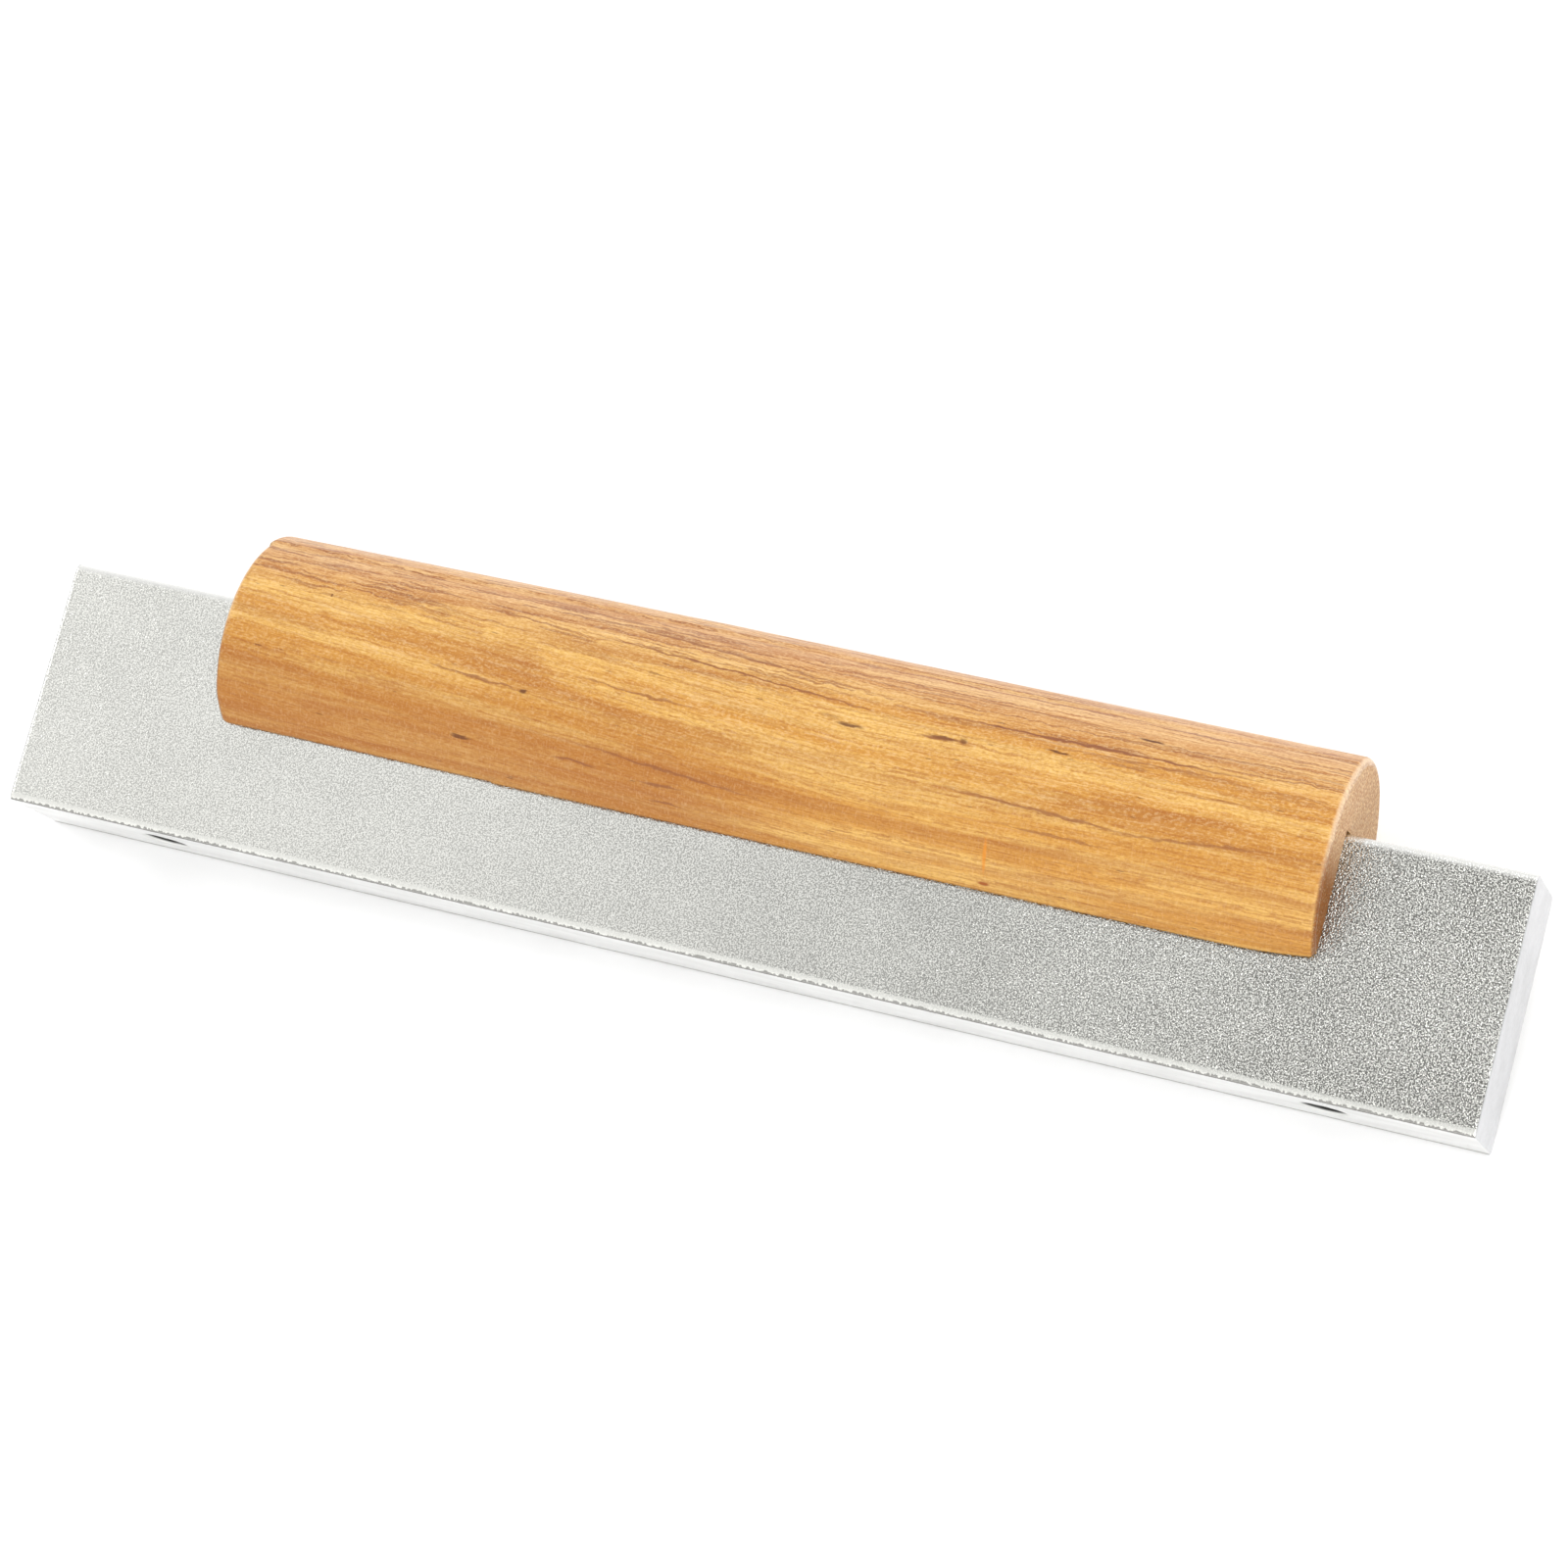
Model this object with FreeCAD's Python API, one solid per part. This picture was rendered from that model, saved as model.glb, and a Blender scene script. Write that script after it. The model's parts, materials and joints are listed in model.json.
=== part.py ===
import FreeCAD, Part
import math
import os

# A flat levelling file, in millimetres: a blasted aluminium bar glued into a slotted round wooden handle.
# The tool is drawn in its own frame first: X along the bar, Y through its thickness, Z from the sole (Z = 0)
# to the handle's back. It is then laid on its side on a bench, where it rests on the handle's round back
# and on the bar's lower long edge, with the origin on the bench under the middle of its bounding box.

# bar
BAR_LENGTH = 200.0
BAR_HEIGHT = 33.0
BAR_THICKNESS = 15.0
EDGE_RADIUS = 1.2       # rounded long edges of the drawn bar
SOLE_SKIM = 0.3         # depth milled off the sole, which leaves a fine arris on each rounded edge

# tapped holes in the sole
HOLE_PITCH = 159.6
TAP_DRILL_RADIUS = 2.5  # M6 thread, drawn at its drilled radius
MOUTH_RADIUS = 3.35     # small countersink at the mouth
HOLE_DEPTH = 16.0       # full-diameter depth from the sole
DRILL_POINT_ANGLE = 118.0

# handle
HANDLE_RADIUS = 15.0
HANDLE_AXIS_HEIGHT = 28.9
HANDLE_LENGTH = 149.4
HANDLE_OFFSET = 1.1     # the handle sits this far towards +X from the bar's middle
END_ROUND = 0.9         # softened rim of each end
WING_FLAT = 0.35        # height taken off the thin lower edge of each wing

# glue between the handle's slot and the bar
GLUE_SIDE = 0.12
GLUE_TOP = 0.4

HALF_THICKNESS = BAR_THICKNESS / 2
SLOT_HALF_WIDTH = HALF_THICKNESS + GLUE_SIDE
SLOT_TOP = BAR_HEIGHT + GLUE_TOP
HANDLE_LEFT = HANDLE_OFFSET - HANDLE_LENGTH / 2
CORNER_Y = HALF_THICKNESS - EDGE_RADIUS      # centre of a lower edge's rounding
CORNER_Z = EDGE_RADIUS - SOLE_SKIM
ARRIS_INSET = EDGE_RADIUS - math.sqrt(EDGE_RADIUS ** 2 - CORNER_Z ** 2)

X_AXIS = FreeCAD.Vector(1, 0, 0)
Z_AXIS = FreeCAD.Vector(0, 0, 1)


def bench_tilt():
    # angle between the tool's Z and the bench: the bench plane touches two parallel cylinders, the handle
    # and the rounding of the bar's lower far edge
    rise = HANDLE_AXIS_HEIGHT - CORNER_Z
    distance = math.hypot(CORNER_Y, rise)
    return math.asin((HANDLE_RADIUS - EDGE_RADIUS) / distance) - math.atan2(CORNER_Y, rise)


def bench_placement():
    # the tool's Y and Z turned about X until the far face is down, then moved to stand on the origin
    tilt = bench_tilt()
    lowest_y = -math.sin(tilt) * (HALF_THICKNESS - ARRIS_INSET)
    highest_y = math.cos(tilt) * HANDLE_AXIS_HEIGHT + HANDLE_RADIUS
    bench_z = math.sin(tilt) * HANDLE_AXIS_HEIGHT - HANDLE_RADIUS
    turn = FreeCAD.Rotation(X_AXIS, math.degrees(tilt) - 90)
    shift = FreeCAD.Vector(0, -(lowest_y + highest_y) / 2, -bench_z)
    return FreeCAD.Placement(shift, turn)


def bar_blank():
    # the drawn bar before drilling: a rounded rectangle, skimmed flat at the sole, and sawn square
    blank = Part.makeBox(
        BAR_LENGTH,
        BAR_THICKNESS,
        BAR_HEIGHT + SOLE_SKIM,
        FreeCAD.Vector(-BAR_LENGTH / 2, -HALF_THICKNESS, -SOLE_SKIM),
    )
    long_edges = [edge for edge in blank.Edges if abs(edge.Length - BAR_LENGTH) < 0.01]
    blank = blank.makeFillet(EDGE_RADIUS, long_edges)
    skim = Part.makeBox(
        BAR_LENGTH + 2,
        BAR_THICKNESS + 2,
        2 * SOLE_SKIM,
        FreeCAD.Vector(-BAR_LENGTH / 2 - 1, -HALF_THICKNESS - 1, -2 * SOLE_SKIM),
    )
    return blank.cut(skim)


def tapped_hole(x):
    # countersunk mouth, drilled wall and drill point, as one tool pointing up from the sole
    middle = FreeCAD.Vector(x, 0, 0)
    sink_depth = MOUTH_RADIUS - TAP_DRILL_RADIUS
    point_height = TAP_DRILL_RADIUS / math.tan(math.radians(DRILL_POINT_ANGLE / 2))
    mouth = Part.makeCone(MOUTH_RADIUS, TAP_DRILL_RADIUS, sink_depth, middle, Z_AXIS)
    wall = Part.makeCylinder(TAP_DRILL_RADIUS, HOLE_DEPTH, middle, Z_AXIS)
    end = FreeCAD.Vector(x, 0, HOLE_DEPTH)
    point = Part.makeCone(TAP_DRILL_RADIUS, 0, point_height, end, Z_AXIS)
    return mouth.fuse(wall).fuse(point)


def metal_bar():
    bar = bar_blank()
    for side in (-1, 1):
        bar = bar.cut(tapped_hole(side * HOLE_PITCH / 2))
    return bar


def slot_block(bottom):
    # the room that the handle's slot makes for the bar, over the handle's whole length
    return Part.makeBox(
        HANDLE_LENGTH,
        2 * SLOT_HALF_WIDTH,
        SLOT_TOP - bottom,
        FreeCAD.Vector(HANDLE_LEFT, -SLOT_HALF_WIDTH, bottom),
    )


def wing_height():
    # where the wings stop: just above the line in which the round handle meets the slot's walls
    return HANDLE_AXIS_HEIGHT - math.sqrt(HANDLE_RADIUS ** 2 - SLOT_HALF_WIDTH ** 2) + WING_FLAT


def wooden_handle():
    start = FreeCAD.Vector(HANDLE_LEFT, 0, HANDLE_AXIS_HEIGHT)
    rod = Part.makeCylinder(HANDLE_RADIUS, HANDLE_LENGTH, start, X_AXIS)
    rims = [edge for edge in rod.Edges if isinstance(edge.Curve, Part.Circle)]
    rod = rod.makeFillet(END_ROUND, rims)
    low = HANDLE_AXIS_HEIGHT - HANDLE_RADIUS
    under_wings = Part.makeBox(
        HANDLE_LENGTH,
        2 * HANDLE_RADIUS,
        wing_height() - low,
        FreeCAD.Vector(HANDLE_LEFT, -HANDLE_RADIUS, low),
    )
    return rod.cut(under_wings).cut(slot_block(low))


def glue_bed():
    return slot_block(wing_height()).cut(bar_blank())


def main():
    os.makedirs("parts", exist_ok=True)
    on_bench = bench_placement()
    nodes = {
        "metal_bar": metal_bar(),
        "wooden_handle": wooden_handle(),
        "glue_bed": glue_bed(),
    }
    for name, shape in nodes.items():
        shape.Placement = on_bench.multiply(shape.Placement)
        shape.exportStep("parts/" + name + ".step")
        print(name, "solids", len(shape.Solids), "volume", round(shape.Volume, 1), "valid", shape.isValid())
    print("tilt on the bench", round(math.degrees(bench_tilt()), 3))
    for side in (-1, 1):
        mouth = FreeCAD.Vector(side * HOLE_PITCH / 2, 0, MOUTH_RADIUS - TAP_DRILL_RADIUS)
        print("hole wall starts at", on_bench.multVec(mouth))
    print("hole axis out of the mouth", on_bench.Rotation.multVec(FreeCAD.Vector(0, 0, -1)))
    print("sole centre", on_bench.multVec(FreeCAD.Vector(0, 0, 0)))


main()
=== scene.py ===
import json
import math
import bmesh
import bpy
import numpy as np
from mathutils import Matrix, Vector


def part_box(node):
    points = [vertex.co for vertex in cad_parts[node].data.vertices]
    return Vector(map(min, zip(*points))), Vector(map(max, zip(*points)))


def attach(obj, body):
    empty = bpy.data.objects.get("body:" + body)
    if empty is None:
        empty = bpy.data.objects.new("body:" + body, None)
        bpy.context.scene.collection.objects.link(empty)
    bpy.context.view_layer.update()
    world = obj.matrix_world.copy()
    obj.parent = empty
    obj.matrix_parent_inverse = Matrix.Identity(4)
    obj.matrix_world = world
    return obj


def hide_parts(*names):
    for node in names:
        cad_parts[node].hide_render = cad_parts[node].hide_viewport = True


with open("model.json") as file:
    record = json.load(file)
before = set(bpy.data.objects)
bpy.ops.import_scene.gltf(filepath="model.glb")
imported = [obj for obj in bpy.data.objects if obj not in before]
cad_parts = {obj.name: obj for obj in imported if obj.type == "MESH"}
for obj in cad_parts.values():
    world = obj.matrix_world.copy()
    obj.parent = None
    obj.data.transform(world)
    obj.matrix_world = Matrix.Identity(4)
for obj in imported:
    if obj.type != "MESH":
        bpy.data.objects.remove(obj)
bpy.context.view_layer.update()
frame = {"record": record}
millimetre = 0.001

# The tool's own axes, read from the sole: x along the bar, y through its thickness (the upper wide face
# is at -y), z from the sole towards the handle's back. Pieces are worked out in these axes, in millimetres.
solePlace = next(m for m in frame["record"]["mounts"] if m["name"] == "sole")
toolZ = -np.array(solePlace["axis"], float)
toolZ /= np.linalg.norm(toolZ)
toolX = np.array([1.0, 0.0, 0.0])
toolY = np.cross(toolZ, toolX)
toolAxes = np.array([toolX, toolY, toolZ])
toolOrigin = np.array(solePlace["pos_m"], float)

holePlaces = [m for m in frame["record"]["mounts"] if m["kind"] == "threaded_hole"]
barLow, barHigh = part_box("metal_bar")
rodLow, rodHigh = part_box("wooden_handle")

bar = {
    "left": barLow.x / millimetre,
    "right": barHigh.x / millimetre,
    "height": 33.0,
    "halfThick": 7.5,
    "edgeRadius": 1.2,
    "soleSkim": 0.3,
    "endBreak": 0.12,          # fine chamfer round each sawn end
    "cell": 0.3,               # spacing of the points round the body's section
}
handle = {
    "left": rodLow.x / millimetre,
    "right": rodHigh.x / millimetre,
    "radius": 15.0,
    "axisHeight": 28.9,
    "slotHalf": 7.62,
    "slotTop": 33.4,
    "rimRound": 0.9,
    "sink": 0.31,              # the glued rod sits this much lower than its nominal place,
    "lean": 0.0025,            # and rises towards the right by this much a millimetre
    "leftCorner": 1.5,         # rounding of the wings' corners
    "rightCorner": 0.6,
    "rightSanding": (12.0, 0.8),   # the wings' edges rise over this length by this much at the right end
    "tipCut": 0.35,            # height of the flat that cuts off the wings' sharp tips
    "wearHeight": 4.0,         # the wear fades out this far above them
}
wingDrop = math.sqrt(handle["radius"] ** 2 - handle["slotHalf"] ** 2)
handle["tipZ"] = handle["axisHeight"] - wingDrop + handle["tipCut"]


def toRow(points):
    # from the tool's axes in millimetres to the shared frame in metres
    return toolOrigin + (np.asarray(points, float) * millimetre) @ toolAxes


def newPiece(name, verts, faces, smooth, finish=None):
    # verts in the tool's axes; smooth is one flag for each face, finish one material number for each
    mesh = bpy.data.meshes.new(name)
    mesh.from_pydata(toRow(verts).tolist(), [], faces)
    mesh.polygons.foreach_set("use_smooth", np.asarray(smooth, bool))
    if finish is not None:
        mesh.polygons.foreach_set("material_index", np.asarray(finish, np.int32))
    shell = bmesh.new()
    shell.from_mesh(mesh)
    bmesh.ops.recalc_face_normals(shell, faces=shell.faces)
    shell.to_mesh(mesh)
    shell.free()
    mesh.update()
    piece = bpy.data.objects.new(name, mesh)
    bpy.context.scene.collection.objects.link(piece)
    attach(piece, "root")
    return piece


def quadsOf(index):
    # one quad for each square of neighbours in a grid of point numbers
    corners = (index[:-1, :-1], index[:-1, 1:], index[1:, 1:], index[1:, :-1])
    return np.stack([c.ravel() for c in corners], 1).tolist()


def gridFaces(rows, columns, first=0):
    # quads over a rows by columns grid of points numbered row by row
    return quadsOf(first + np.arange(rows * columns).reshape(rows, columns))


def bandNoise(shape, cell, size, seed, stretch=1.0):
    # smooth random relief of unit deviation: white noise passed through a ring-shaped band of wavelengths
    # about `size` long, and `stretch` times longer along the first direction
    spread = 0.45
    white = np.random.default_rng(seed).standard_normal(shape)
    fx = np.fft.fftfreq(shape[0], cell[0])[:, None] * stretch
    fy = np.fft.rfftfreq(shape[1], cell[1])[None, :]
    pitch = np.hypot(fx, fy) * size
    band = np.exp(-((pitch - 1.0) / spread) ** 2) - math.exp(-(1.0 / spread) ** 2)
    relief = np.fft.irfft2(np.fft.rfft2(white) * np.clip(band, 0, None), shape)
    return relief / relief.std()


def arc(centre, radius, start, end, cell):
    # points and outward normals on an arc in the y-z plane, angles in degrees
    steps = max(2, int(round(abs(math.radians(end - start)) * radius / cell)))
    angle = np.radians(np.linspace(start, end, steps + 1))
    normal = np.stack([np.cos(angle), np.sin(angle)], 1)
    return np.array(centre) + radius * normal, normal


def line(start, end, normal, cell):
    steps = max(1, int(round(math.dist(start, end) / cell)))
    share = np.linspace(0, 1, steps + 1)[:, None]
    points = np.array(start) * (1 - share) + np.array(end) * share
    return points, np.tile(np.array(normal, float), (steps + 1, 1))


def joinPath(stretches):
    # stretches end to end, without the point that each shares with the one before
    points = [stretches[0][0]] + [s[0][1:] for s in stretches[1:]]
    normals = [stretches[0][1]] + [s[1][1:] for s in stretches[1:]]
    return np.concatenate(points), np.concatenate(normals)


print("frame loaded")

# ---- bar ----

sideY = bar["halfThick"]
cornerY = sideY - bar["edgeRadius"]
lowCornerZ = bar["edgeRadius"] - bar["soleSkim"]
highCornerZ = bar["height"] - bar["edgeRadius"]
arrisAngle = math.degrees(math.asin(lowCornerZ / bar["edgeRadius"]))


def barPath(cell):
    # the bar's section from one arris of the sole, up the upper face, over the back edge, to the other
    r = bar["edgeRadius"]
    low, high = lowCornerZ, highCornerZ
    stretches = {
        "upper": [
            arc((-cornerY, low), r, 180 + arrisAngle, 180, cell),
            line((-sideY, low), (-sideY, high), (-1, 0), cell),
            arc((-cornerY, high), r, 180, 90, cell),
        ],
        "back": [
            line((-cornerY, bar["height"]), (cornerY, bar["height"]), (0, 1), cell),
        ],
        "lower": [
            arc((cornerY, high), r, 90, 0, cell),
            line((sideY, high), (sideY, low), (1, 0), cell),
            arc((cornerY, low), r, 0, -arrisAngle, cell),
        ],
    }
    return {name: joinPath(s) for name, s in stretches.items()}


blast = {
    "cell": 0.27,              # spacing of the points
    "grain": 0.62,             # width of a dimple and its rim
    "depth": 0.012,            # deviation of the relief
    "broad": 2.6,              # slow unevenness under the dimples
    "broadDepth": 0.004,
    "standOff": 0.045,         # the skin's mean height over the bar's body
    "bury": 0.25,              # how far its inner side lies in the body
    "endTaper": 0.35,          # the relief fades out this far from a sawn end
    "edgeShare": 0.4,          # how much of the relief is left on the rounded edges
    "least": 0.004,            # the skin is nowhere lower than this over the body
}


def blastedSkin(name, path, seed):
    # a thin closed skin over one side of the bar. Outer point = path point + its normal times
    # (stand-off + relief), where the relief fades at the sawn ends; the inner side is the path drawn inwards
    points, normals = path
    length = bar["right"] - bar["left"] - 2 * bar["endBreak"]
    columns = int(round(length / blast["cell"])) + 1
    x = np.linspace(bar["left"] + bar["endBreak"], bar["right"] - bar["endBreak"], columns)
    rows = len(points)
    cell = (x[1] - x[0], blast["cell"])
    relief = blast["depth"] * bandNoise((columns, rows), cell, blast["grain"], seed)
    relief += blast["broadDepth"] * bandNoise((columns, rows), cell, blast["broad"], seed + 50)
    fromEnd = np.minimum(x - x[0], x[-1] - x)
    fade = np.clip(fromEnd / blast["endTaper"], 0, 1)[:, None]
    flatness = np.abs(normals).max(1)        # 1 on the flat sides, less on the rounded edges
    relief *= blast["edgeShare"] + (1 - blast["edgeShare"]) * np.clip((flatness - 0.9) / 0.1, 0, 1)
    height = np.maximum(blast["standOff"] + fade * relief, blast["least"])
    across = points[None] + normals[None] * height[..., None]
    outer = np.concatenate([np.broadcast_to(x[:, None, None], (columns, rows, 1)), across], 2)
    inwards = points - normals * blast["bury"]
    ends = [np.column_stack([np.full(rows, e), inwards]) for e in (x[0], x[-1])]
    verts = np.concatenate([outer.reshape(-1, 3), ends[0], ends[1]])
    faces = gridFaces(columns, rows)
    smooth = [True] * len(faces)
    first = columns * rows
    second = first + rows
    last = (columns - 1) * rows
    for j in range(rows - 1):
        faces.append([j, j + 1, first + j + 1, first + j])
        faces.append([last + j, last + j + 1, second + j + 1, second + j])
        faces.append([first + j, first + j + 1, second + j + 1, second + j])
    bottomEdge = [i * rows for i in range(columns)]
    topEdge = [i * rows + rows - 1 for i in range(columns)]
    faces.append(bottomEdge + [second, first])
    faces.append(topEdge + [second + rows - 1, first + rows - 1])
    smooth += [False] * (len(faces) - len(smooth))
    return newPiece(name, verts, faces, smooth)


thread = {
    "minor": 2.5,
    "depth": 0.54,             # crest to root
    "pitch": 1.0,
    "mouth": 3.35,
    "length": 11.0,            # threaded length
    "drilled": 16.0,
    "tipHeight": 1.5,
    "around": 96,
    "rowsPerPitch": 12,
}


def holeWall(x):
    # a tapped wall as a function of the angle a and the depth d: the larger of the countersink's cone,
    # mouth - d, and the thread, minor + depth * triangle wave of (d / pitch - a / turn); it ends in a cone
    angle = np.linspace(0, 2 * math.pi, thread["around"], endpoint=False)
    rows = int(thread["length"] / thread["pitch"] * thread["rowsPerPitch"]) + 1
    depth = np.linspace(0, thread["length"], rows)[:, None]
    turn = np.mod(depth / thread["pitch"] - angle[None] / (2 * math.pi), 1.0)
    ridge = np.clip(1.35 * (1 - np.abs(2 * turn - 1)) - 0.2, 0, 1)
    runOut = np.clip((thread["length"] - depth) / thread["pitch"], 0, 1)
    threaded = thread["minor"] + thread["depth"] * ridge * runOut
    radius = np.maximum(threaded, thread["mouth"] - depth)
    tail = np.array([thread["drilled"], thread["drilled"] + thread["tipHeight"]])[:, None]
    radius = np.concatenate([radius, np.full((1, len(angle)), thread["minor"])])
    depth = np.concatenate([depth, tail[:1]])
    points = np.stack(
        [x + radius * np.cos(angle), radius * np.sin(angle), np.broadcast_to(depth, radius.shape)], 2
    )
    tip = np.array([x, 0.0, tail[1, 0]])
    return points, tip


def barBody():
    # sawn ends, milled sole with two tapped holes, and plain walls under the blasted skins
    points, _ = joinPath(list(barPath(bar["cell"]).values()))
    count = len(points)
    inset = bar["endBreak"]
    middle = np.array([0.0, bar["height"] / 2])
    shrunk = middle + (points - middle) * (1 - inset / np.array([sideY, bar["height"] / 2]))
    rings = [
        np.column_stack([np.full(count, bar["left"]), shrunk]),
        np.column_stack([np.full(count, bar["left"] + inset), points]),
        np.column_stack([np.full(count, bar["right"] - inset), points]),
        np.column_stack([np.full(count, bar["right"]), shrunk]),
    ]
    verts = [np.concatenate(rings)]
    total = 4 * count
    sawn = [list(range(count)), [3 * count + i for i in range(count)]]
    sawn += gridFaces(2, count) + gridFaces(2, count, 2 * count)
    milled = gridFaces(2, count, count)
    tapped = []
    mouths = []
    for place in holePlaces:
        walls, tip = holeWall(place["pos_m"][0] / millimetre)
        rows, around = walls.shape[:2]
        index = total + np.arange(rows * around).reshape(rows, around)
        wrapped = np.concatenate([index, index[:, :1]], 1)
        tapped += quadsOf(wrapped)
        total += rows * around
        tapped += [[int(wrapped[-1, i]), int(wrapped[-1, i + 1]), total] for i in range(around)]
        verts += [walls.reshape(-1, 3), tip[None]]
        mouths.append(index[0].tolist())
        total += 1
    leftMouth, rightMouth = mouths
    leftMid, rightMid = total, total + 1
    verts.append(np.array([[bar["left"] + inset, 0, 0], [bar["right"] - inset, 0, 0]]))
    # the sole is two flat halves that meet on its centre line, each with half of both mouths bitten out,
    # and the chamfer under each of its ends takes in the end of that line
    near, far = [i * count for i in range(4)], [i * count + count - 1 for i in range(4)]
    half = thread["around"] // 2
    nearSide = [near[1], near[2], rightMid] + [rightMouth[-i] for i in range(half + 1)]
    nearSide += [leftMouth[-i] for i in range(half + 1)] + [leftMid]
    farSide = [far[1], leftMid] + [leftMouth[half - i] for i in range(half + 1)]
    farSide += [rightMouth[half - i] for i in range(half + 1)] + [rightMid, far[2]]
    milled += [nearSide, farSide]
    sawn += [[near[0], far[0], far[1], leftMid, near[1]], [near[2], rightMid, far[2], far[3], near[3]]]
    faces = milled + sawn + tapped
    smooth = [False] * (len(milled) + len(sawn)) + [True] * len(tapped)
    finish = [0] * len(milled) + [1] * len(sawn) + [2] * len(tapped)
    return newPiece("bar_body", np.concatenate(verts), faces, smooth, finish)


paths = barPath(blast["cell"])
barBodyPiece = barBody()
upperSkin = blastedSkin("blasted_upper_face", paths["upper"], 11)
lowerSkin = blastedSkin("blasted_lower_face", paths["lower"], 12)
backSkin = blastedSkin("blasted_back_edge", paths["back"], 13)
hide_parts("metal_bar")
print("bar made")

# ---- handle ----

grain = {
    "along": 0.44,             # spacing of the points along the handle
    "around": 0.30,            # and around it
    "fibre": 1.1,              # width of the raised fibres
    "fibreDepth": 0.006,
    "pore": 0.7,
    "poreDepth": 0.05,
    "rarePore": 2.3,           # only peaks of so many deviations become pores
    "wave": 0.06,              # slow unevenness of the turned rod, and its length over two pi
    "waveLength": 23.0,
    "taper": 0.4,              # the rod is this much thinner at its left end, from this place on
    "taperFrom": -10.0,
    "edgeEase": 1.5,           # the relief grows over this width from a wing's tip
    "capSteps": 10,            # points across each end face
}


def handleSection():
    # outer arc from wing tip to wing tip over the top, and the slot's outline between the same two tips,
    # with the same number of points on both
    r, zc, slot = handle["radius"], handle["axisHeight"], handle["slotHalf"]
    tipZ = handle["tipZ"]
    tipY = math.sqrt(r * r - (zc - tipZ) ** 2)
    tipAngle = math.degrees(math.atan2(zc - tipZ, tipY))
    outer, outNormal = arc((0, zc), r, 180 + tipAngle, -tipAngle, grain["around"])
    count = len(outer)
    wall = handle["slotTop"] - tipZ
    lengths = np.array([0, wall, wall + 2 * slot, 2 * wall + 2 * slot])
    share = np.linspace(0, lengths[-1], count)
    innerY = np.interp(share, lengths, [-slot, -slot, slot, slot])
    innerZ = np.interp(share, lengths, [tipZ, handle["slotTop"], handle["slotTop"], tipZ])
    for corner in (1, 2):                    # a point exactly at each inner corner
        k = int(np.argmin(np.abs(share - lengths[corner])))
        innerY[k] = (-slot, slot)[corner - 1]
        innerZ[k] = handle["slotTop"]
    return outer, outNormal, np.column_stack([innerY, innerZ])


def wingRise(x):
    # how far the wings' edges are worn up: a quarter circle at each end and a parabola towards the right
    rise = np.zeros(len(x))
    for fromEnd, corner in (
        (x - handle["left"], handle["leftCorner"]),
        (handle["right"] - x, handle["rightCorner"]),
    ):
        inside = np.clip(corner - fromEnd, 0, corner)
        rise += corner - np.sqrt(corner ** 2 - inside ** 2)
    length, amount = handle["rightSanding"]
    return rise + amount * np.clip(1 - (handle["right"] - x) / length, 0, 1) ** 2


def settled(points):
    # z + how far the rod sits off its nominal height (none at the slot's roof) + the wings' wear,
    # which fades out above their edges
    x, y, z = points.T
    inSlot = np.abs(y) < handle["slotHalf"] + 0.001
    toRoof = (handle["slotTop"] - z) / (handle["slotTop"] - handle["tipZ"])
    share = np.where(inSlot, np.clip(toRoof, 0, 1), 1.0)
    offset = share * (handle["lean"] * x - handle["sink"])
    low = np.clip(1 - (z - handle["tipZ"]) / handle["wearHeight"], 0, 1) ** 1.5
    return np.column_stack([x, y, z + offset + low * wingRise(x)])


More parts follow.
